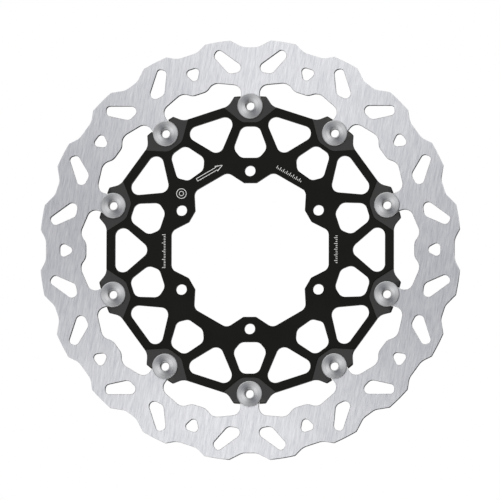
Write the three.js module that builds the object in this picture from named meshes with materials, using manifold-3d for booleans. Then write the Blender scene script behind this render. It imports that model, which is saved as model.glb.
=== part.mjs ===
// Floating brake disc for a motorcycle front wheel: a wavy braking ring that floats on ten
// bobbins, which tie it to an aluminium carrier with a six-hole hub.
// Millimetres. The disc's axis is Y, its outer face looks to -Y, and +Z is up. The origin is the
// centre of the carrier's back face, which seats on the wheel hub.
import * as THREE from 'three';
import { mergeVertices } from 'three/addons/utils/BufferGeometryUtils.js';
import Module from 'manifold-3d';

const wasm = await Module();
wasm.setup();

// ---- driving dimensions ----
const discRadius = 160;
const bobbinCount = 10;
const bobbinCircle = 109.3;

const hubHoleCount = 6;
const hubHoleCircle = 60;
const hubHoleRadius = 4.1;

// depths along Y: front faces are the lower numbers
const carrierFront = -7;
const carrierBack = 0;
const bladeFront = -6;
const bladeBack = -1;

const shankRadius = 5.5;
const shankEnd = 3;
const flangeRadius = 9.65;
const flangeThickness = 1.5;
const flangeGap = 0.5;
const bobbinBore = 3.25;
const notchRadius = 5.8;
const notchStep = 0.5;

const washerRadius = 8.5;
const washerBore = 6;
const washerThickness = 0.8;
const washerGap = 0.3;
const springRadius = 8;
const springThickness = 0.3;
const springRise = 0.25;
const springWaves = 3;
const clipThickness = 0.7;
const clipOuter = 6.9;
const clipInner = 4.8;
const clipOpening = 70;
const grooveRadius = 4.5;
const grooveGap = 0.2;

const arcStep = 30; // degrees of turn for each chord of a rounded corner
const roundSteps = 16; // chords in a full turn of a small round piece

// ---- materials ----
const steel = { color: 0xd2d3d6, roughness: 0.35, metalness: 1 };
const anodised = { color: 0x1c1c1b, roughness: 0.45, metalness: 1 };
const turnedSteel = { color: 0xb4b5b9, roughness: 0.3, metalness: 1 };
const springSteel = { color: 0x8b8d90, roughness: 0.4, metalness: 1 };

// ---- outlines in the plane of the disc: x to the right, y for the height Z ----
const pitch = 360 / bobbinCount;
const halfPitch = THREE.MathUtils.degToRad(pitch / 2);

function turned(corners, degrees) {
  const centre = new THREE.Vector2();
  const angle = THREE.MathUtils.degToRad(degrees);
  return corners.map(([x, y, radius]) => {
    const point = new THREE.Vector2(x, y).rotateAround(centre, angle);
    return [point.x, point.y, radius];
  });
}

function mirrored(corners) {
  return corners.map(([x, y, radius]) => [-x, y, radius]).reverse();
}

function flipped(corners) {
  return corners.map(([x, y, radius]) => [x, -y, radius]).reverse();
}

// The points of an arc about (cx, cy), both ends included.
function arcPoints(cx, cy, radius, from, to) {
  const steps = Math.max(1, Math.round(Math.abs(THREE.MathUtils.radToDeg(to - from)) / arcStep));
  const curve = new THREE.EllipseCurve(cx, cy, radius, radius, from, to, to < from);
  return curve.getPoints(steps);
}

// A closed loop of points from corners [x, y, radius], each corner rounded to its radius.
function rounded(corners) {
  const loop = [];
  corners.forEach(([x, y, radius], i) => {
    const corner = new THREE.Vector2(x, y);
    if (!radius) {
      loop.push(corner);
      return;
    }
    const [px, py] = corners.at(i - 1);
    const [nx, ny] = corners[(i + 1) % corners.length];
    const back = new THREE.Vector2(px, py).sub(corner).normalize();
    const ahead = new THREE.Vector2(nx, ny).sub(corner).normalize();
    const half = Math.acos(THREE.MathUtils.clamp(back.dot(ahead), -1, 1)) / 2;
    const bisector = back.clone().add(ahead).normalize();
    const centre = corner.clone().addScaledVector(bisector, radius / Math.sin(half));
    const start = corner.clone().addScaledVector(back, radius / Math.tan(half)).sub(centre);
    const end = corner.clone().addScaledVector(ahead, radius / Math.tan(half)).sub(centre);
    const from = start.angle();
    let sweep = end.angle() - from;
    if (sweep > Math.PI) sweep -= 2 * Math.PI;
    if (sweep < -Math.PI) sweep += 2 * Math.PI;
    loop.push(...arcPoints(centre.x, centre.y, radius, from, from + sweep));
  });
  return loop;
}

// One pattern period, repeated clockwise round the disc.
function allRound(corners, count) {
  return Array.from({ length: count }, (_, i) => turned(corners, (-360 / count) * i)).flat();
}

// A plate between two depths, from an outer loop and its holes. An anticlockwise outer loop lets
// the extrusion turn each hole the right way round by itself.
function plate(outer, holes, front, back) {
  const shape = new THREE.Shape(THREE.ShapeUtils.isClockWise(outer) ? [...outer].reverse() : outer);
  shape.holes = holes.map((hole) => new THREE.Path(hole));
  const geometry = new THREE.ExtrudeGeometry(shape, { depth: back - front, bevelEnabled: false });
  geometry.translate(0, 0, -back);
  geometry.rotateX(Math.PI / 2);
  return geometry;
}

function circle(cx, cy, radius, steps = roundSteps) {
  const points = new THREE.EllipseCurve(cx, cy, radius, radius).getPoints(steps);
  return points.slice(0, -1);
}

function toSolid(geometry) {
  const bare = geometry.clone();
  bare.deleteAttribute('normal');
  bare.deleteAttribute('uv');
  const merged = mergeVertices(bare, 1e-4);
  const vertProperties = new Float32Array(merged.attributes.position.array);
  const triVerts = new Uint32Array(merged.index.array);
  return new wasm.Manifold(new wasm.Mesh({ numProp: 3, vertProperties, triVerts }));
}

function toGeometry(solid) {
  const { vertProperties, triVerts } = solid.getMesh();
  const geometry = new THREE.BufferGeometry();
  geometry.setAttribute('position', new THREE.BufferAttribute(vertProperties, 3));
  geometry.setIndex(new THREE.BufferAttribute(triVerts, 1));
  return geometry;
}

const group = new THREE.Group();

function addPiece(name, geometry, finish, parent = group) {
  const mesh = new THREE.Mesh(geometry, new THREE.MeshStandardMaterial(finish));
  mesh.name = name;
  parent.add(mesh);
  return mesh;
}

// ---- braking ring ----
// Outlines are drawn on the right of the bobbin at the top, and mirrored to its left.
const tipAngle = THREE.MathUtils.degToRad(5.55);
const tip = [discRadius * Math.sin(tipAngle), discRadius * Math.cos(tipAngle), 0];
const lobeTop = [
  discRadius * Math.sin(halfPitch / 2),
  discRadius * Math.cos(halfPitch / 2),
  0,
];
// The valley over a bobbin is deeper than the valley between two bobbins.
const bobbinValley = [5.44, 154.15, 9.7];
const middleValley = turned(mirrored([[7.8, 155.2, 12]]), -pitch / 2)[0];
const farTip = turned(mirrored([tip]), -pitch / 2)[0];
const ringRight = [bobbinValley, tip, lobeTop, farTip, middleValley];
const ringOuter = rounded(allRound([...mirrored(ringRight), ...ringRight], bobbinCount));

const notchMouth = Math.sqrt(notchRadius ** 2 - notchStep ** 2);
const notchAngle = Math.asin(notchStep / notchRadius);
const tabEnd = bobbinCircle + notchStep;
const tabNotch = arcPoints(0, bobbinCircle, notchRadius, Math.PI - notchAngle, notchAngle)
  .map(({ x, y }) => [x, y, 0]);
const tabRight = [
  [7, tabEnd, 0],
  [7, 125.1, 6.5],
  [28.2, 127, 8],
  [33.2, 120.3, 8],
];
const ringInner = rounded(allRound([...mirrored(tabRight), ...tabNotch, ...tabRight], bobbinCount));

const slantedSlot = [
  [24.4, 153, 3],
  [28.4, 147.3, 3.3],
  [16.4, 133.8, 5],
  [8.2, 135.2, 4],
  [6.75, 140.2, 4],
];
const threeCornerHole = turned([[-6.95, 144.5, 3], [6.95, 144.5, 3], [0, 132.15, 3]], -pitch / 2);

const ringHoles = [ringInner];
for (let i = 0; i < bobbinCount; i++) {
  const angle = -pitch * i;
  ringHoles.push(rounded(turned(slantedSlot, angle)));
  ringHoles.push(rounded(turned(mirrored(slantedSlot), angle)));
  ringHoles.push(rounded(turned(threeCornerHole, angle)));
}
addPiece('ring', plate(ringOuter, ringHoles, bladeFront, bladeBack), steel);

// ---- carrier ----
const forkInner = 7.5;
const forkTop = 116.8;
const pocketFloor = bobbinCircle - notchStep;
const lugNotch = arcPoints(0, bobbinCircle, notchRadius, Math.PI + notchAngle, 2 * Math.PI - notchAngle)
  .map(({ x, y }) => [x, y, 0]);
const lugRight = [
  [forkInner, pocketFloor, 0],
  [forkInner, forkTop, 0],
  [12.2, 116.5, 1.5],
  [16.8, 109.2, 9.5],
];
const lug = [...mirrored(lugRight), ...lugNotch, ...lugRight];
const carrierOuter = rounded(allRound(lug, bobbinCount));

const bossRight = [[4.85, 50.95, 1], [17.3, 59.1, 6]];
const carrierBore = rounded(allRound([...mirrored(bossRight), ...bossRight], hubHoleCount));

// Windows on the axes, mirrored top to bottom or left to right.
const topBell = [
  [-6.7, 94, 6],
  [6.7, 94, 6],
  [12.96, 77, 6],
  [7, 69.9, 6],
  [-7, 69.9, 6],
  [-12.96, 77, 6],
];
const sideTriangle = [[102.55, 24, 6], [102.55, -24, 6], [74.9, 0, 6]];
// Windows of the upper right quarter, mirrored to the other three.
const quarterWindows = [
  [[8.9, 104.8, 6], [54.5, 90, 6], [23.1, 71.15, 6]],
  [[68.85, 79.6, 6], [97.05, 40.8, 6], [60.6, 44, 6]],
  [[34.75, 69.8, 6], [49.85, 79.9, 6], [60.8, 72, 6], [55.7, 54.7, 5], [46.9, 52.5, 5], [35.5, 60.6, 6]],
  [[69.3, 36, 6], [87.35, 35.5, 6], [91.5, 22.65, 6], [77.2, 11.5, 6], [68.7, 15, 6], [64.35, 28.3, 6]],
];
const windows = [topBell, flipped(topBell), sideTriangle, mirrored(sideTriangle)];
for (const corners of quarterWindows) {
  windows.push(corners, mirrored(corners), flipped(corners), mirrored(flipped(corners)));
}

const hubHoles = Array.from({ length: hubHoleCount }, (_, i) => {
  const angle = Math.PI / 2 + (2 * Math.PI * i) / hubHoleCount;
  return circle(hubHoleCircle * Math.cos(angle), hubHoleCircle * Math.sin(angle), hubHoleRadius);
});
const carrierHoles = [carrierBore, ...windows.map(rounded), ...hubHoles];
let carrier = toSolid(plate(carrierOuter, carrierHoles, carrierFront, carrierBack));

// Each lug is milled down on both faces to the thickness of the ring.
const millRight = [[6.3, 96.9, 0], [26, 112.8, 0], [26, 120, 0]];
const millOutline = [...mirrored(millRight), ...millRight];
for (let i = 0; i < bobbinCount; i++) {
  const outline = rounded(turned(millOutline, -pitch * i));
  carrier = carrier.subtract(toSolid(plate(outline, [], carrierFront - 1, bladeFront)));
  carrier = carrier.subtract(toSolid(plate(outline, [], bladeBack, carrierBack + 1)));
}
addPiece('carrier', toGeometry(carrier), anodised);

// ---- bobbins, and what holds each of them from behind ----
// Profiles run round the section of a turned piece: [radius, depth].
function turnedPiece(profile, steps = roundSteps) {
  const points = profile.map(([radius, depth]) => new THREE.Vector2(radius, depth));
  points.push(points[0].clone());
  return new THREE.LatheGeometry(points, steps);
}

const flangeBack = bladeFront - flangeGap;
const flangeFront = flangeBack - flangeThickness;
const washerFront = bladeBack + washerGap;
const washerBack = washerFront + washerThickness;
const springMiddle = washerBack + washerGap + springRise;
const clipFront = springMiddle + springThickness + springRise + washerGap;
const clipBack = clipFront + clipThickness;
const boreChamfer = 0.6;
const flangeChamfer = 0.4;

const bobbinShape = turnedPiece([
  [bobbinBore + boreChamfer, flangeFront],
  [flangeRadius - flangeChamfer, flangeFront],
  [flangeRadius, flangeFront + flangeChamfer],
  [flangeRadius, flangeBack],
  [shankRadius, flangeBack],
  [shankRadius, clipFront - grooveGap],
  [grooveRadius, clipFront - grooveGap],
  [grooveRadius, clipBack + grooveGap],
  [shankRadius, clipBack + grooveGap],
  [shankRadius, shankEnd],
  [bobbinBore, shankEnd],
  [bobbinBore, flangeFront + boreChamfer],
]);

const washerShape = turnedPiece([
  [washerBore, washerFront],
  [washerRadius, washerFront],
  [washerRadius, washerBack],
  [washerBore, washerBack],
]);

const springShape = turnedPiece([
  [washerBore, springMiddle],
  [springRadius, springMiddle],
  [springRadius, springMiddle + springThickness],
  [washerBore, springMiddle + springThickness],
], 18);
const springPoints = springShape.attributes.position;
for (let i = 0; i < springPoints.count; i++) {
  const angle = Math.atan2(springPoints.getZ(i), springPoints.getX(i));
  const wave = springRise * Math.cos(springWaves * angle);
  springPoints.setY(i, springPoints.getY(i) + wave);
}

const clipHalf = THREE.MathUtils.degToRad((360 - clipOpening) / 2);
const clipOutline = [
  ...arcPoints(0, 0, clipOuter, Math.PI / 2 + clipHalf, Math.PI / 2 - clipHalf),
  ...arcPoints(0, 0, clipInner, Math.PI / 2 - clipHalf, Math.PI / 2 + clipHalf),
];
const clipShape = plate(clipOutline, [], clipFront, clipBack);

for (let i = 0; i < bobbinCount; i++) {
  const number = String(i + 1).padStart(2, '0');
  const station = new THREE.Group();
  const spoke = new THREE.Group();
  spoke.rotation.y = THREE.MathUtils.degToRad(pitch * i);
  station.position.z = bobbinCircle;
  spoke.add(station);
  group.add(spoke);
  addPiece(`bobbin_${number}`, bobbinShape, turnedSteel, station);
  addPiece(`thrust_washer_${number}`, washerShape, springSteel, station);
  addPiece(`wave_spring_${number}`, springShape, springSteel, station);
  addPiece(`circlip_${number}`, clipShape, springSteel, station);
}

export default group;
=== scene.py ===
# A floating front brake disc for a motorcycle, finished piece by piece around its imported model.
from math import acos, asin, atan2, ceil, copysign, cos, pi, radians, sin, sqrt, tan

import bmesh
import bpy
from mathutils import Matrix, Quaternion, Vector


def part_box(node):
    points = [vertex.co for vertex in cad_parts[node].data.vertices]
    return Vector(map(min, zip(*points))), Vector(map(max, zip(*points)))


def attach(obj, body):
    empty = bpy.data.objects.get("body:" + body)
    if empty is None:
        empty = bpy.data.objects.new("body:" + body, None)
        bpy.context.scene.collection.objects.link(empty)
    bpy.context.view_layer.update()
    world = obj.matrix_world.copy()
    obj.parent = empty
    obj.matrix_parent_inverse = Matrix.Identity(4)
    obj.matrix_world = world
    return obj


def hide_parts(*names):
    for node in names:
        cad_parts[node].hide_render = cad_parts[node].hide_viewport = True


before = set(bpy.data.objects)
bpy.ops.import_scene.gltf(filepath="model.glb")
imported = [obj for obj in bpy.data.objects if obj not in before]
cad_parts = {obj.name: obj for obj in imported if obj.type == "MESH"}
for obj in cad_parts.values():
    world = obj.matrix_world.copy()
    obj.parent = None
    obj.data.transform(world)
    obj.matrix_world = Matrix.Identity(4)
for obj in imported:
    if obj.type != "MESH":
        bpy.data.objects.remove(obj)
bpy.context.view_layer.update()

# ---------------------------------------------------------------------------------------------
# Braking ring
# One 5 mm plate of martensitic stainless steel. Its wavy rim, slots and tabs are laser-cut, its
# edges are broken by a small chamfer, and both faces are ground in straight lines.
# ---------------------------------------------------------------------------------------------
MM = 0.001
bobbin_count = 10
pitch = 2 * pi / bobbin_count
disc_radius = 160
bobbin_circle = 109.3
notch_radius = 5.8
notch_step = 0.5
ring_front, ring_back = (corner.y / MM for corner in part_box("ring"))
ring_chamfer = 0.35
chord_sag = 0.015
short_chord = 0.12


def turned(corners, angle):
    """Corners (x, z, radius) turned clockwise about the disc's axis, seen from the front."""
    return [
        (x * cos(angle) + z * sin(angle), z * cos(angle) - x * sin(angle), radius)
        for x, z, radius in corners]


def mirrored(corners):
    """Corners mirrored left to right, and listed backwards so that a run stays a run."""
    return [(-x, z, radius) for x, z, radius in reversed(corners)]


def all_round(corners, count):
    """One period of an outline, repeated clockwise round the disc."""
    return [corner for i in range(count) for corner in turned(corners, 2 * pi * i / count)]


def draw_loop(bm, corners, depth):
    """A closed loop of edges through the corners. Spin turns each corner's arc to its radius."""
    first = last = None
    for i, (x, z, radius) in enumerate(corners):
        corner = Vector((x, z))
        back = (Vector(corners[i - 1][:2]) - corner).normalized()
        ahead = (Vector(corners[(i + 1) % len(corners)][:2]) - corner).normalized()
        half = back.angle(ahead) / 2
        start = corner + back * (radius / tan(half))
        begin = end = bm.verts.new((start.x, depth, start.y))
        if radius:
            centre = corner + (back + ahead).normalized() * (radius / sin(half))
            sweep = (pi - 2 * half) * (-1 if back.cross(ahead) > 0 else 1)
            steps = ceil(abs(sweep) / (2 * acos(1 - chord_sag / radius)))
            arc = bmesh.ops.spin(
                bm, geom=[begin], cent=(centre.x, depth, centre.y), axis=(0, -1, 0),
                angle=sweep, steps=steps, use_duplicate=False)
            end = arc["geom_last"][0]
        if last:
            bm.edges.new((last, begin))
        first = first or begin
        last = end
    bm.edges.new((last, first))


def fill_loops(bm, loops, depth, material_index=0):
    """Faces that look to the front over closed loops. A loop inside another is a hole."""
    before = set(bm.verts)
    for corners in loops:
        draw_loop(bm, corners, depth)
    drawn = [vert for vert in bm.verts if vert not in before]
    bmesh.ops.remove_doubles(bm, verts=drawn, dist=short_chord)
    bmesh.ops.triangle_fill(
        bm, use_beauty=True, use_dissolve=False, normal=(0, -1, 0),
        edges=[edge for edge in bm.edges if edge.is_wire])
    for face in bm.faces:
        if all(vert not in before for vert in face.verts):
            face.material_index = material_index


def raise_walls(bm, height):
    """Walls from every open edge, back by a height."""
    open_edges = [edge for edge in bm.edges if edge.is_boundary]
    walls = bmesh.ops.extrude_edge_only(bm, edges=open_edges)
    new_verts = [item for item in walls["geom"] if isinstance(item, bmesh.types.BMVert)]
    bmesh.ops.translate(bm, verts=new_verts, vec=(0, height, 0))


def close_plate(bm, middle):
    """Mirrors a front half about the plane y = 0, then moves the plate to its middle depth."""
    half = bm.verts[:] + bm.edges[:] + bm.faces[:]
    bmesh.ops.mirror(bm, geom=half, axis="Y", merge_dist=MM)
    bmesh.ops.recalc_face_normals(bm, faces=bm.faces[:])
    bmesh.ops.translate(bm, verts=bm.verts[:], vec=(0, middle, 0))


def inset_chamfer(bm, size):
    """Insets every face drawn so far and lifts it, which leaves a chamfer round its edges."""
    bmesh.ops.inset_region(
        bm, faces=bm.faces[:], use_boundary=True, use_even_offset=True,
        thickness=size, depth=size)


def chamfered_plate(loops, front, back, chamfer):
    """A flat plate with a chamfer on every edge of both faces."""
    bm = bmesh.new()
    half = (back - front) / 2
    fill_loops(bm, loops, chamfer - half)
    inset_chamfer(bm, chamfer)
    raise_walls(bm, half - chamfer)
    close_plate(bm, (front + back) / 2)
    return bm


def is_wall(face):
    """Whether a face looks more to the side than to the front or back."""
    return abs(face.normal.y) < 0.5


def make_piece(name, bm, *materials, place=Matrix(), sharp_angle=30):
    """An object from a bmesh in millimetres, with smooth walls and crisp edges."""
    mesh = bpy.data.meshes.new(name)
    bm.to_mesh(mesh)
    mesh.transform(Matrix.Scale(MM, 4) @ place)
    for material in materials:
        mesh.materials.append(material)
    mesh.shade_smooth()
    mesh.set_sharp_from_angle(angle=radians(sharp_angle))
    piece = bpy.data.objects.new(name, mesh)
    bpy.context.scene.collection.objects.link(piece)
    return piece


def colour(code):
    """An sRGB hex colour as linear red, green and blue, with alpha 1."""
    channels = [int(code[i:i + 2], 16) / 255 for i in (1, 3, 5)]
    linear = [c / 12.92 if c <= 0.04045 else ((c + 0.055) / 1.055) ** 2.4 for c in channels]
    return (*linear, 1)


def add_node(tree, kind, values=None, links=None, **settings):
    """A node with its settings, its input values, and links from other nodes' sockets."""
    node = tree.nodes.new(kind)
    for name, value in settings.items():
        setattr(node, name, value)
    for socket, value in (values or {}).items():
        node.inputs[socket].default_value = value
    for socket, source in (links or {}).items():
        tree.links.new(source, node.inputs[socket])
    return node


def new_material(name):
    """An empty node tree and its material. The shader and output nodes are in place."""
    material = bpy.data.materials.new(name)
    material.use_nodes = True
    tree = material.node_tree
    return material, tree, tree.nodes["Principled BSDF"]


# Ground stainless steel: bright, faintly cool, and drawn out in straight streaks that all run one
# way. Real grit lines are about 0.05 mm wide, so they are drawn 0.5 mm wide to show at all. The
# faces were also lapped round the axis, so their gloss spreads away from the centre, as on a dial.
ground, tree, shader = new_material("ground_stainless_steel")
streak_tilt = radians(9.5)
position = add_node(tree, "ShaderNodeTexCoord").outputs["Object"]


def streaks(tree, position, width, length, detail):
    """Noise stretched along the grinding direction. Sizes are in millimetres."""
    along = add_node(
        tree, "ShaderNodeMapping", vector_type="TEXTURE",
        values={"Rotation": (0, streak_tilt, 0), "Scale": (width * MM, MM, length * MM)},
        links={"Vector": position})
    return add_node(
        tree, "ShaderNodeTexNoise", values={"Scale": 1, "Detail": detail, "Roughness": 0.6},
        links={"Vector": along.outputs[0]}).outputs["Fac"]


fine = streaks(tree, position, 0.5, 8, 2)
broad = streaks(tree, position, 1.8, 24, 1)
both = add_node(
    tree, "ShaderNodeMix", data_type="FLOAT", values={0: 0.35}, links={2: fine, 3: broad})
tint = add_node(tree, "ShaderNodeValToRGB", links={"Fac": both.outputs[0]})
tint.color_ramp.elements[0].position = 0.3
tint.color_ramp.elements[0].color = colour("#bfc0c6")
tint.color_ramp.elements[1].position = 0.7
tint.color_ramp.elements[1].color = colour("#eeeeef")
dull = add_node(
    tree, "ShaderNodeMapRange", links={"Value": fine},
    values={"From Min": 0.3, "From Max": 0.7, "To Min": 0.27, "To Max": 0.36})
grain = add_node(
    tree, "ShaderNodeBump", values={"Strength": 0.25, "Distance": 0.02 * MM},
    links={"Height": fine})
fan = add_node(tree, "ShaderNodeTangent", direction_type="RADIAL", axis="Y")
shader.inputs["Metallic"].default_value = 1
shader.inputs["Anisotropic"].default_value = 0.5
shader.inputs["Anisotropic Rotation"].default_value = 0.25
tree.links.new(tint.outputs[0], shader.inputs["Base Color"])
tree.links.new(dull.outputs[0], shader.inputs["Roughness"])
tree.links.new(grain.outputs[0], shader.inputs["Normal"])
tree.links.new(fan.outputs[0], shader.inputs["Tangent"])

# Laser-cut steel edge: a dull dark grey wall with fine upright striations about 0.3 mm apart. The grey is
# partly the cut's own oxide and partly painted shade: it is made near black for the shade that falls on
# the walls.
edge_oxide_and_painted_shade, tree, shader = new_material("cut_steel_edge_oxide_and_painted_shade")
position = add_node(tree, "ShaderNodeTexCoord").outputs["Object"]
upright = add_node(
    tree, "ShaderNodeMapping", vector_type="TEXTURE",
    values={"Scale": (0.3 * MM, 3 * MM, 0.3 * MM)}, links={"Vector": position})
striation = add_node(
    tree, "ShaderNodeTexNoise", values={"Scale": 1, "Detail": 2},
    links={"Vector": upright.outputs[0]}).outputs["Fac"]
tint = add_node(
    tree, "ShaderNodeMix", data_type="RGBA", values={6: colour("#232427"), 7: colour("#3b3c40")},
    links={0: striation})
ridges = add_node(
    tree, "ShaderNodeBump", values={"Strength": 0.5, "Distance": 0.05 * MM},
    links={"Height": striation})
shader.inputs["Metallic"].default_value = 1
shader.inputs["Roughness"].default_value = 0.5
tree.links.new(tint.outputs[2], shader.inputs["Base Color"])
tree.links.new(ridges.outputs[0], shader.inputs["Normal"])

# Outlines are drawn on the right of the bobbin at the top, and mirrored to its left. The valley
# over a bobbin is deeper than the valley between two bobbins.
lobe_start = radians(5.55)
lobe_steps = 6
lobe_angles = [
    lobe_start + (pitch / 2 - 2 * lobe_start) * step / lobe_steps for step in range(lobe_steps + 1)]
lobe = [(disc_radius * sin(angle), disc_radius * cos(angle), 0) for angle in lobe_angles]
bobbin_valley = (5.44, 154.15, 9.7)
middle_valley = turned([(-7.8, 155.2, 12)], pitch / 2)[0]
rim = [bobbin_valley, *lobe, middle_valley]

tab_end = bobbin_circle + notch_step
notch_mouth = sqrt(notch_radius ** 2 - notch_step ** 2)
notch_half = (pi / 2 - asin(notch_step / notch_radius)) / 2
notch_corner = notch_radius * tan(notch_half)
notch_top = [
    (notch_corner, bobbin_circle + notch_radius, notch_radius),
    (notch_mouth, tab_end, 0)]
tab = [(7, tab_end, 0), (7, 125.1, 6.5), (28.2, 127, 8), (33.2, 120.3, 8)]
inner_edge = [*mirrored(tab), *mirrored(notch_top), *notch_top, *tab]

slanted_slot = [
    (24.4, 153, 3), (28.4, 147.3, 3.3), (16.4, 133.8, 5), (8.2, 135.2, 4), (6.75, 140.2, 4)]
three_corner_hole = turned([(-6.95, 144.5, 3), (6.95, 144.5, 3), (0, 132.15, 3)], pitch / 2)

ring_loops = [all_round([*mirrored(rim), *rim], bobbin_count), all_round(inner_edge, bobbin_count)]
for i in range(bobbin_count):
    for hole in (slanted_slot, mirrored(slanted_slot), three_corner_hole):
        ring_loops.append(turned(hole, i * pitch))

bm = chamfered_plate(ring_loops, ring_front, ring_back, ring_chamfer)
# The walls get the cut-edge material. Its near-black tone is partly painted shade.
for face in bm.faces:
    face.material_index = 1 if is_wall(face) else 0
ring = make_piece("braking_ring", bm, ground, edge_oxide_and_painted_shade)
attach(ring, "ring")
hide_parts("ring")

# ---------------------------------------------------------------------------------------------
# Carrier
# A 7 mm aluminium plate, routed out to spokes, bored and drilled for six hub bolts. Each of its
# ten lugs is milled down on both faces to the ring's thickness, and it is anodised black.
# ---------------------------------------------------------------------------------------------
carrier_front, carrier_back = (corner.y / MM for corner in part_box("carrier"))
carrier_middle = (carrier_front + carrier_back) / 2
carrier_half = (carrier_back - carrier_front) / 2
lug_half = (ring_back - ring_front) / 2
carrier_chamfer = 0.25
hub_hole_count = 6
hub_hole_circle = 60
hub_hole_radius = 4.1

# Bead-blasted black anodising: an even, deep black with a fine dry grain of about 0.4 mm.
blasted, tree, shader = new_material("bead_blasted_black_anodising")
position = add_node(tree, "ShaderNodeTexCoord").outputs["Object"]
grit = add_node(
    tree, "ShaderNodeTexNoise", values={"Scale": 1 / (0.4 * MM), "Detail": 2},
    links={"Vector": position}).outputs["Fac"]
cloud = add_node(
    tree, "ShaderNodeTexNoise", values={"Scale": 1 / (30 * MM), "Detail": 2},
    links={"Vector": position}).outputs["Fac"]
tint = add_node(
    tree, "ShaderNodeMix", data_type="RGBA", values={6: colour("#1f1f1d"), 7: colour("#262623")},
    links={0: cloud})
dry = add_node(
    tree, "ShaderNodeMapRange", links={"Value": grit},
    values={"From Min": 0.3, "From Max": 0.7, "To Min": 0.42, "To Max": 0.52})
pits = add_node(
    tree, "ShaderNodeBump", values={"Strength": 0.3, "Distance": 0.03 * MM},
    links={"Height": grit})
shader.inputs["Metallic"].default_value = 1
tree.links.new(tint.outputs[2], shader.inputs["Base Color"])
tree.links.new(dry.outputs[0], shader.inputs["Roughness"])
tree.links.new(pits.outputs[0], shader.inputs["Normal"])

# Milled black anodising: the lug floors are cut after blasting, so they stay smoother and catch
# more light, with faint cutter marks about 0.5 mm apart.
milled, tree, shader = new_material("milled_black_anodising")
position = add_node(tree, "ShaderNodeTexCoord").outputs["Object"]
cutter = add_node(
    tree, "ShaderNodeTexNoise", values={"Scale": 1 / (0.5 * MM), "Detail": 2},
    links={"Vector": position}).outputs["Fac"]
tint = add_node(
    tree, "ShaderNodeMix", data_type="RGBA", values={6: colour("#424242"), 7: colour("#4a4a48")},
    links={0: cutter})
scratches = add_node(
    tree, "ShaderNodeBump", values={"Strength": 0.2, "Distance": 0.02 * MM},
    links={"Height": cutter})
shader.inputs["Metallic"].default_value = 1
shader.inputs["Roughness"].default_value = 0.4
tree.links.new(tint.outputs[2], shader.inputs["Base Color"])
tree.links.new(scratches.outputs[0], shader.inputs["Normal"])


def circle(x, z, radius):
    """A circle as a square of corners, each rounded to the full radius."""
    return [(x + i * radius, z + k * radius, radius) for i, k in ((-1, -1), (1, -1), (1, 1), (-1, 1))]


def flipped(corners):
    """Corners mirrored top to bottom, and listed backwards."""
    return [(x, -z, radius) for x, z, radius in reversed(corners)]


fork_inner = 7.5
fork_top = 116.8
prong_end = 0.9
prong_slope = 0.4
pocket_floor = bobbin_circle - notch_step
pocket_corner = (6.3, 96.9, 8)
flank = (16.8, 109.2, 9.5)
flank_next = turned(mirrored([flank]), pitch)[0]


def arc_end(corner, before, after):
    """Where a corner's arc ends, on its way to the corner after it."""
    middle = Vector(corner[:2])
    back = (Vector(before[:2]) - middle).normalized()
    ahead = (Vector(after[:2]) - middle).normalized()
    end = middle + ahead * (corner[2] / tan(back.angle(ahead) / 2))
    return (end.x, end.y, 0)


fork_tip = (12.2, 116.5, 1.5)
lug_end = arc_end(flank, fork_tip, flank_next)
notch_bottom = [
    (notch_corner, bobbin_circle - notch_radius, notch_radius),
    (notch_mouth, pocket_floor, 0)]
fork = [*notch_bottom, (fork_inner, pocket_floor, 0), (fork_inner, fork_top, 0), fork_tip, flank]
lug = [*mirrored(fork), *fork, lug_end, pocket_corner, *mirrored([lug_end, pocket_corner])]
hub_edge = [*mirrored([pocket_corner, lug_end]), pocket_corner, lug_end]

boss = [(4.85, 50.95, 1), (17.3, 59.1, 6)]
bell = [(6.7, 94, 6), (12.96, 77, 6), (7, 69.9, 6)]
top_bell = [*mirrored(bell), *bell]
side_triangle = [(102.55, 24, 6), (102.55, -24, 6), (74.9, 0, 6)]
quarter_windows = [
    [(8.9, 104.8, 6), (54.5, 90, 6), (23.1, 71.15, 6)],
    [(68.85, 79.6, 6), (97.05, 40.8, 6), (60.6, 44, 6)],
    [(34.75, 69.8, 6), (49.85, 79.9, 6), (60.8, 72, 6), (55.7, 54.7, 5), (46.9, 52.5, 5), (35.5, 60.6, 6)],
    [(69.3, 36, 6), (87.35, 35.5, 6), (91.5, 22.65, 6), (77.2, 11.5, 6), (68.7, 15, 6), (64.35, 28.3, 6)],
]
hub_loops = [
    all_round(hub_edge, bobbin_count), all_round([*mirrored(boss), *boss], hub_hole_count),
    top_bell, flipped(top_bell), side_triangle, mirrored(side_triangle)]
for window in quarter_windows:
    hub_loops += [window, mirrored(window), flipped(window), mirrored(flipped(window))]
for i in range(hub_hole_count):
    angle = pi / 2 + 2 * pi * i / hub_hole_count
    hub_loops.append(
        circle(hub_hole_circle * cos(angle), hub_hole_circle * sin(angle), hub_hole_radius))

bm = bmesh.new()
fill_loops(bm, hub_loops, carrier_chamfer - carrier_half)
inset_chamfer(bm, carrier_chamfer)
raise_walls(bm, carrier_half - carrier_chamfer - lug_half)

# Each lug floor is milled up to a line near its prongs' ends. The ends stay blasted.
slope_start = fork_top - prong_end
for i in range(bobbin_count):
    fill_loops(bm, [turned(lug, i * pitch)], -lug_half, material_index=1)
    outwards = Vector((sin(i * pitch), 0, cos(i * pitch)))
    floor_faces = [face for face in bm.faces if face.material_index == 1]
    floor_edges = {edge for face in floor_faces for edge in face.edges}
    bmesh.ops.bisect_plane(
        bm, geom=floor_faces + list(floor_edges), dist=MM,
        plane_co=outwards * slope_start, plane_no=outwards)
    for face in bm.faces:
        if face.calc_center_median().dot(outwards) > slope_start:
            face.material_index = 0
bmesh.ops.remove_doubles(bm, verts=bm.verts[:], dist=MM)
raise_walls(bm, lug_half)
close_plate(bm, 0)

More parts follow.
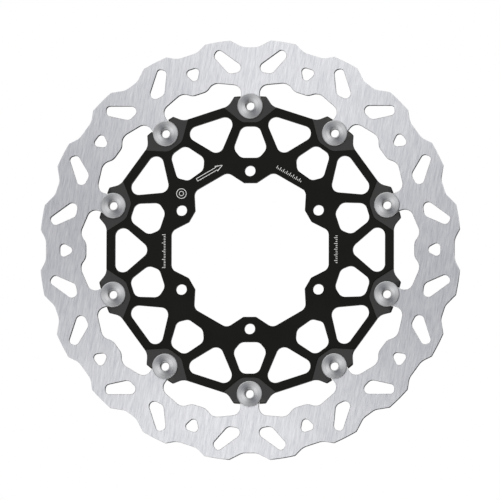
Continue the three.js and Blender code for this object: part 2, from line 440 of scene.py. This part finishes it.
# The prongs' ends slope down on both faces, measured along the middle line of the nearest lug.
for vert in bm.verts:
    if abs(abs(vert.co.y) - lug_half) < MM:
        angle = atan2(vert.co.x, vert.co.z)
        reach = vert.co.xz.length * cos(angle - round(angle / pitch) * pitch)
        beyond = max(0, reach - slope_start)
        vert.co.y -= copysign(beyond * prong_slope, vert.co.y)
bmesh.ops.translate(bm, verts=bm.verts[:], vec=(0, carrier_middle, 0))

# The walls stay blasted. A small chamfer breaks the rim of every milled floor.
for face in bm.faces:
    if is_wall(face):
        face.material_index = 0
rim_angle = radians(60)
lug_rims = [
    edge for edge in bm.edges
    if {face.material_index for face in edge.link_faces} == {0, 1}
    and edge.calc_face_angle_signed() > rim_angle]
bmesh.ops.bevel(
    bm, geom=lug_rims, affect="EDGES", offset=carrier_chamfer, segments=1, profile=0.5, material=-1)
carrier = make_piece("carrier_plate", bm, blasted, milled)
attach(carrier, "carrier")
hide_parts("carrier")

# ---------------------------------------------------------------------------------------------
# Bobbins
# Ten steel buttons turned on a lathe: a wide flange in front, a hollow shank through the ring and
# carrier, and a groove near its end for the clip. They tie the ring to the carrier and let it float.
# ---------------------------------------------------------------------------------------------
flange_radius = 9.65
flange_thickness = 1.5
flange_gap = 0.5
rim_chamfer = (0.55, 0.35)
shank_radius = 5.5
shank_end = 3
bore_radius = 3.25
bore_chamfer = 0.6
edge_round = 0.15
washer_front, washer_back = (corner.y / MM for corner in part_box("thrust_washer_01"))
spring_front, spring_back = (corner.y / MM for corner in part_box("wave_spring_01"))
clip_front, clip_back = (corner.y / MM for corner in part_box("circlip_01"))
groove_radius = 4.5
groove_gap = 0.2
flange_back = ring_front - flange_gap
flange_front = flange_back - flange_thickness
bobbin_steps = 72

# Turned steel: bright bands fan out from the middle, because the tool leaves fine rings about
# 0.2 mm apart, drawn 0.8 mm apart to show. The gloss leans 44 degrees off the rings.
turned_steel, tree, shader = new_material("turned_steel")
gloss_lean = -44 / 360
distance = add_node(
    tree, "ShaderNodeAttribute", attribute_type="GEOMETRY", attribute_name="turning_radius")
rings = add_node(
    tree, "ShaderNodeTexNoise", noise_dimensions="1D",
    values={"Scale": 1 / (0.8 * MM), "Detail": 3}, links={"W": distance.outputs["Fac"]}).outputs["Fac"]
tint = add_node(
    tree, "ShaderNodeMix", data_type="RGBA", values={6: colour("#949596"), 7: colour("#e8e8e9")},
    links={0: rings})
grooves = add_node(
    tree, "ShaderNodeBump", values={"Strength": 0.3, "Distance": 0.03 * MM},
    links={"Height": rings})
fan = add_node(tree, "ShaderNodeTangent", direction_type="RADIAL", axis="Y")
shader.inputs["Metallic"].default_value = 1
shader.inputs["Roughness"].default_value = 0.4
shader.inputs["Anisotropic"].default_value = 1
shader.inputs["Anisotropic Rotation"].default_value = gloss_lean
tree.links.new(tint.outputs[2], shader.inputs["Base Color"])
tree.links.new(grooves.outputs[0], shader.inputs["Normal"])
tree.links.new(fan.outputs[0], shader.inputs["Tangent"])


def lathe(profile, steps):
    """A turned piece round the Y axis, from corners (radius, depth, rounding)."""
    bm = bmesh.new()
    draw_loop(bm, profile, 0)
    bmesh.ops.remove_doubles(bm, verts=bm.verts[:], dist=MM)
    bmesh.ops.spin(
        bm, geom=bm.verts[:] + bm.edges[:], cent=(0, 0, 0), axis=(0, 0, 1), angle=2 * pi,
        steps=steps, use_merge=True)
    bmesh.ops.recalc_face_normals(bm, faces=bm.faces[:])
    bmesh.ops.rotate(
        bm, verts=bm.verts[:], cent=(0, 0, 0), matrix=Matrix.Rotation(-pi / 2, 3, "X"))
    layer = bm.verts.layers.float.new("turning_radius")
    for vert in bm.verts:
        vert[layer] = sqrt(vert.co.x ** 2 + vert.co.z ** 2) * MM
    return bm


def station(number):
    """The place of a bobbin: at the top of its circle, then turned clockwise round the disc."""
    turn = Matrix.Rotation(number * pitch, 4, "Y")
    return turn @ Matrix.Translation((0, 0, bobbin_circle))


bobbin_profile = [
    (bore_radius + bore_chamfer, flange_front, 0),
    (flange_radius - rim_chamfer[0], flange_front, edge_round),
    (flange_radius, flange_front + rim_chamfer[1], edge_round),
    (flange_radius, flange_back, edge_round),
    (shank_radius, flange_back, edge_round),
    (shank_radius, clip_front - groove_gap, 0),
    (groove_radius, clip_front - groove_gap, 0),
    (groove_radius, clip_back + groove_gap, 0),
    (shank_radius, clip_back + groove_gap, 0),
    (shank_radius, shank_end, edge_round),
    (bore_radius, shank_end, edge_round),
    (bore_radius, flange_front + bore_chamfer, 0),
]


def fit_at_stations(bm, node, finish, material):
    """One copy of a piece at each bobbin. It rides on its bobbin and replaces its own node."""
    for number in range(bobbin_count):
        count = f"{number + 1:02d}"
        piece = make_piece(f"{node}_{count}_{finish}", bm, material, place=station(number))
        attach(piece, f"bobbin_{count}")
        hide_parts(f"{node}_{count}")


fit_at_stations(lathe(bobbin_profile, bobbin_steps), "bobbin", "button", turned_steel)

# ---------------------------------------------------------------------------------------------
# Thrust washers
# A plain hardened washer on each shank, zinc plated, that the wave spring presses on the ring.
# ---------------------------------------------------------------------------------------------
washer_bore = 6
washer_radius = 8.5

# Bright zinc plating: a pale bluish grey, softly cloudy at about 2 mm.
zinc, tree, shader = new_material("bright_zinc_plating")
position = add_node(tree, "ShaderNodeTexCoord").outputs["Object"]
cloud = add_node(
    tree, "ShaderNodeTexNoise", values={"Scale": 1 / (2 * MM), "Detail": 3},
    links={"Vector": position}).outputs["Fac"]
tint = add_node(
    tree, "ShaderNodeMix", data_type="RGBA", values={6: colour("#a9adb3"), 7: colour("#c6c9cd")},
    links={0: cloud})
satin = add_node(
    tree, "ShaderNodeMapRange", links={"Value": cloud},
    values={"From Min": 0.3, "From Max": 0.7, "To Min": 0.28, "To Max": 0.4})
shader.inputs["Metallic"].default_value = 1
tree.links.new(tint.outputs[2], shader.inputs["Base Color"])
tree.links.new(satin.outputs[0], shader.inputs["Roughness"])

washer_profile = [
    (washer_bore, washer_front, edge_round), (washer_radius, washer_front, edge_round),
    (washer_radius, washer_back, edge_round), (washer_bore, washer_back, edge_round)]
fit_at_stations(lathe(washer_profile, bobbin_steps), "thrust_washer", "plated", zinc)

# ---------------------------------------------------------------------------------------------
# Wave springs
# A thin ring of spring steel, pressed into three waves, that takes up the play behind each bobbin.
# ---------------------------------------------------------------------------------------------
spring_radius = 8
spring_waves = 3
spring_rise = 0.25
spring_thickness = spring_back - spring_front - 2 * spring_rise
spring_round = 0.1

# Tempered spring steel: a grey-brown oiled temper colour, brushed by tumbling.
tempered, tree, shader = new_material("tempered_spring_steel")
position = add_node(tree, "ShaderNodeTexCoord").outputs["Object"]
temper = add_node(
    tree, "ShaderNodeTexNoise", values={"Scale": 1 / (3 * MM), "Detail": 4},
    links={"Vector": position}).outputs["Fac"]
tint = add_node(
    tree, "ShaderNodeMix", data_type="RGBA", values={6: colour("#55534f"), 7: colour("#7c7a76")},
    links={0: temper})
scuffs = add_node(
    tree, "ShaderNodeBump", values={"Strength": 0.2, "Distance": 0.02 * MM},
    links={"Height": temper})
shader.inputs["Metallic"].default_value = 1
shader.inputs["Roughness"].default_value = 0.33
tree.links.new(tint.outputs[2], shader.inputs["Base Color"])
tree.links.new(scuffs.outputs[0], shader.inputs["Normal"])

flat_front = spring_front + spring_rise
flat_back = flat_front + spring_thickness
spring_profile = [
    (washer_bore, flat_front, spring_round), (spring_radius, flat_front, spring_round),
    (spring_radius, flat_back, spring_round), (washer_bore, flat_back, spring_round)]
bm = lathe(spring_profile, bobbin_steps)
for vert in bm.verts:
    vert.co.y += spring_rise * cos(spring_waves * atan2(vert.co.z, vert.co.x))
fit_at_stations(bm, "wave_spring", "waved", tempered)

# ---------------------------------------------------------------------------------------------
# Circlips
# A stamped clip of black spring steel in each shank's groove. Three teeth grip the groove, and
# its mouth points to the disc's centre.
# ---------------------------------------------------------------------------------------------
clip_radius = 6.9
clip_relief = 5.9
clip_grip = groove_radius + 0.1
clip_chamfer = 0.06

# Phosphated spring steel: matt charcoal crystals of about 0.2 mm.
phosphated, tree, shader = new_material("phosphated_spring_steel")
position = add_node(tree, "ShaderNodeTexCoord").outputs["Object"]
crystals = add_node(
    tree, "ShaderNodeTexNoise", values={"Scale": 1 / (0.2 * MM), "Detail": 2},
    links={"Vector": position}).outputs["Fac"]
tint = add_node(
    tree, "ShaderNodeMix", data_type="RGBA", values={6: colour("#2e2f30"), 7: colour("#48494b")},
    links={0: crystals})
bumps = add_node(
    tree, "ShaderNodeBump", values={"Strength": 0.3, "Distance": 0.02 * MM},
    links={"Height": crystals})
shader.inputs["Metallic"].default_value = 0.8
shader.inputs["Roughness"].default_value = 0.48
tree.links.new(tint.outputs[2], shader.inputs["Base Color"])
tree.links.new(bumps.outputs[0], shader.inputs["Normal"])


def polar(radius, degrees, rounding):
    """A corner at an angle clockwise from the top."""
    return (radius * sin(radians(degrees)), radius * cos(radians(degrees)), rounding)


def round_arc(radius, start, end, count):
    """Corners of the straight-sided outline round an arc, each rounded to the arc's radius."""
    step = (end - start) / count
    reach = radius / cos(radians(step / 2))
    return [polar(reach, start + step * (i + 0.5), radius) for i in range(count)]


outer_right = [*round_arc(clip_radius, 0, 138, 3), polar(clip_radius, 144, 0.5)]
inner_right = [
    polar(clip_grip + 0.1, 145, 0.4), *round_arc(clip_grip, 126, 104, 1), polar(clip_grip, 97, 0.2),
    polar(clip_relief, 92, 0.4), *round_arc(clip_relief, 80, 24, 2), polar(clip_relief, 16, 0.4),
    polar(clip_grip, 13, 0.2)]
clip_loop = [*mirrored(outer_right), *outer_right, *inner_right, *mirrored(inner_right)]
bm = chamfered_plate([clip_loop], clip_front, clip_back, clip_chamfer)
fit_at_stations(bm, "circlip", "stamped", phosphated)

# ---------------------------------------------------------------------------------------------
# Laser marks
# Plain marks burnt pale into the black anodising: an arrow for the direction of rotation, a disc
# sign and rows of strokes. They carry no wording. They are raised a hair so that they are seen.
# ---------------------------------------------------------------------------------------------
mark_rise = 0.02
mark_line = 0.45

# Laser-marked anodising: chalky off-white, matt, and a little patchy at the scale of the beam.
marked, tree, shader = new_material("laser_marked_anodising")
position = add_node(tree, "ShaderNodeTexCoord").outputs["Object"]
beam = add_node(
    tree, "ShaderNodeTexNoise", values={"Scale": 1 / (0.3 * MM), "Detail": 2},
    links={"Vector": position}).outputs["Fac"]
tint = add_node(
    tree, "ShaderNodeMix", data_type="RGBA", values={6: colour("#dcdcd8"), 7: colour("#fafaf7")},
    links={0: beam})
shader.inputs["Roughness"].default_value = 0.85
shader.inputs["Specular IOR Level"].default_value = 0.2
tree.links.new(tint.outputs[2], shader.inputs["Base Color"])


def placed(corners, x, z, tilt):
    """Corners turned anticlockwise by a tilt in degrees, then moved."""
    return [(x + a, z + b, radius) for a, b, radius in turned(corners, -radians(tilt))]


def stroke(x, length):
    """An upright stroke that stands on the row's base line."""
    return [(x, 0, 0), (x + mark_line, 0, 0), (x + mark_line, length, 0), (x, length, 0)]


def stroke_row(lengths, spacing, x, z, tilt):
    """Strokes of the given lengths side by side, centred on a point."""
    middle = spacing * (len(lengths) - 1) / 2
    top = max(lengths)
    return [
        placed([(a, b - top / 2, r) for a, b, r in stroke(i * spacing - middle, length)], x, z, tilt)
        for i, length in enumerate(lengths)]


# The arrow is drawn level about its middle, pointing right, from its lower half. Then it is placed.
arrow_tail = 11.5
arrow_neck = 5.5
arrow_half = 1.3
head_half = 2.4
arrow_lower = [
    (-arrow_tail, -arrow_half, 0.3), (arrow_neck, -arrow_half, 0), (arrow_neck, -head_half, 0.2)]
arrow_outer = [*arrow_lower, (arrow_tail, 0, 0.3), *flipped(arrow_lower)]
inner_lower = [
    (-arrow_tail + mark_line, -arrow_half + mark_line, 0.1),
    (arrow_neck + mark_line, -arrow_half + mark_line, 0),
    (arrow_neck + mark_line, -head_half + 2 * mark_line, 0)]
arrow_inner = [*inner_lower, (arrow_tail - 2.6 * mark_line, 0, 0), *flipped(inner_lower)]
arrow_place = (-30.5, 58.8, 30)
mark_groups = [[placed(loop, *arrow_place) for loop in (arrow_outer, arrow_inner)]]

sign_centre = (-52.1, 42.8)
for outer in (3.9, 1.9):
    mark_groups.append([circle(*sign_centre, outer), circle(*sign_centre, outer - mark_line)])

scale_row = stroke_row([2.6, 1.3, 1.3, 1.3, 1.3] * 4 + [2.6], 1.25, -65.4, -1.2, 90)
triple_row = stroke_row([1.4, 2.5, 1.4] * 5, 1.45, 65.3, 0, 90)
paired_row = stroke_row([2.5, 1.2] * 8, 1.4, 29.6, 57.7, -30)
mark_groups += [[loop] for loop in scale_row + triple_row + paired_row]

bm = bmesh.new()
for loops in mark_groups:
    fill_loops(bm, loops, -mark_rise)
raise_walls(bm, mark_rise)
close_plate(bm, carrier_front)
marks = make_piece("laser_marks", bm, marked)
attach(marks, "carrier")

# ---------------------------------------------------------------------------------------------
# Floor, light and camera
# A plain pale floor well below the disc and hidden from its gloss, a soft studio sky, and a long
# lens a little low and to the right.
# ---------------------------------------------------------------------------------------------
floor_depth = 0.65
floor_size = 8
bm = bmesh.new()
bmesh.ops.create_grid(bm, x_segments=1, y_segments=1, size=floor_size / 2 / MM)
bmesh.ops.translate(bm, verts=bm.verts[:], vec=(0, 0, -floor_depth / MM))
painted, tree, shader = new_material("pale_floor_paint")
position = add_node(tree, "ShaderNodeTexCoord").outputs["Object"]
mottle = add_node(
    tree, "ShaderNodeTexNoise", values={"Scale": 3, "Detail": 2},
    links={"Vector": position}).outputs["Fac"]
tint = add_node(
    tree, "ShaderNodeMix", data_type="RGBA", values={6: colour("#eeeeed"), 7: colour("#f2f2f1")},
    links={0: mottle})
shader.inputs["Roughness"].default_value = 0.9
tree.links.new(tint.outputs[2], shader.inputs["Base Color"])
floor = make_piece("floor", bm, painted)
floor.visible_glossy = False

# In front of the disc the sky is bright above and below, and dim and cool at both sides. Elsewhere
# it is even. Two dark flags stand low on the right and straight behind the disc. Each flag is a
# direction, the cosines at its edge and its middle, and its dimmest strength. The camera sees white.
sky_turn = (radians(4), radians(-10), radians(4))
side_light = (0.10, 0.104, 0.121, 1)
top_light = (0.95, 0.95, 0.95, 1)
even_light = (0.6, 0.6, 0.6, 1)
flag_lit = 1.32
low_flag = (Vector((0.7, -0.12, -0.7)).normalized(), 0.54, 0.8, 0.06)
back_flag = (Vector((0.07, 0.99, -0.07)).normalized(), 0.78, 0.94, 0.4)
world = bpy.data.worlds.new("studio")
world.use_nodes = True
bpy.context.scene.world = world
tree = world.node_tree
background = tree.nodes["Background"]
direction = add_node(tree, "ShaderNodeTexCoord").outputs["Generated"]
level = add_node(
    tree, "ShaderNodeMapping", values={"Rotation": sky_turn}, links={"Vector": direction})
axes = add_node(tree, "ShaderNodeSeparateXYZ", links={"Vector": level.outputs[0]})
slope = add_node(
    tree, "ShaderNodeMath", operation="ARCTAN2", links={0: axes.outputs["Z"], 1: axes.outputs["X"]})
double = add_node(
    tree, "ShaderNodeMath", operation="MULTIPLY", values={1: 2}, links={0: slope.outputs[0]})
swing = add_node(tree, "ShaderNodeMath", operation="COSINE", links={0: double.outputs[0]})
fade = add_node(
    tree, "ShaderNodeMapRange", links={"Value": swing.outputs[0]},
    values={"From Min": 1, "From Max": -1, "To Min": 0, "To Max": 1})
sky = add_node(tree, "ShaderNodeValToRGB", links={"Fac": fade.outputs[0]})
sky.color_ramp.elements[0].color = side_light
sky.color_ramp.elements[1].color = top_light
aside = add_node(
    tree, "ShaderNodeMapRange", interpolation_type="SMOOTHSTEP",
    links={"Value": axes.outputs["Y"]},
    values={"From Min": -0.6, "From Max": -0.2, "To Min": 0, "To Max": 1})
dome = add_node(
    tree, "ShaderNodeMix", data_type="RGBA", values={7: even_light},
    links={0: aside.outputs[0], 6: sky.outputs[0]})
flags = []
for towards, edge, middle, dimmest in (low_flag, back_flag):
    facing = add_node(
        tree, "ShaderNodeVectorMath", operation="DOT_PRODUCT", values={1: towards},
        links={0: direction})
    flags.append(add_node(
        tree, "ShaderNodeMapRange", interpolation_type="SMOOTHSTEP",
        links={"Value": facing.outputs["Value"]},
        values={"From Min": edge, "From Max": middle, "To Min": flag_lit, "To Max": dimmest}))
strength = add_node(
    tree, "ShaderNodeMath", operation="MULTIPLY",
    links={0: flags[0].outputs[0], 1: flags[1].outputs[0]})
glow = add_node(
    tree, "ShaderNodeBackground",
    links={"Color": dome.outputs[2], "Strength": strength.outputs[0]})
background.inputs["Color"].default_value = (1, 1, 1, 1)
background.inputs["Strength"].default_value = 1
eye = add_node(tree, "ShaderNodeLightPath").outputs["Is Camera Ray"]
choose = add_node(
    tree, "ShaderNodeMixShader",
    links={0: eye, 1: glow.outputs[0], 2: background.outputs[0]})
tree.links.new(choose.outputs[0], tree.nodes["World Output"].inputs["Surface"])

# A long lens, four degrees right of the disc's axis and four degrees below it. The small roll and
# the aim, a fraction of a millimetre off centre, square the disc up in the frame.
lens = 800
sensor = 36
view_width = 0.3789
camera_azimuth = radians(4)
camera_elevation = radians(-4)
camera_roll = radians(0.14)
aim_right = 0.07
aim_up = -0.16
camera_data = bpy.data.cameras.new("camera")
camera_data.lens = lens
camera_data.sensor_width = sensor
camera_data.clip_end = 100
camera = bpy.data.objects.new("camera", camera_data)
bpy.context.scene.collection.objects.link(camera)
aim = Vector((aim_right, ring_front, aim_up)) * MM
sight = Vector((
    sin(camera_azimuth) * cos(camera_elevation),
    -cos(camera_azimuth) * cos(camera_elevation),
    sin(camera_elevation)))
camera.location = aim + sight * (view_width * lens / sensor)
level_camera = sight.to_track_quat("Z", "Y")
camera.rotation_euler = (level_camera @ Quaternion((0, 0, 1), camera_roll)).to_euler()
bpy.context.scene.camera = camera
bpy.context.scene.view_settings.view_transform = "Standard"
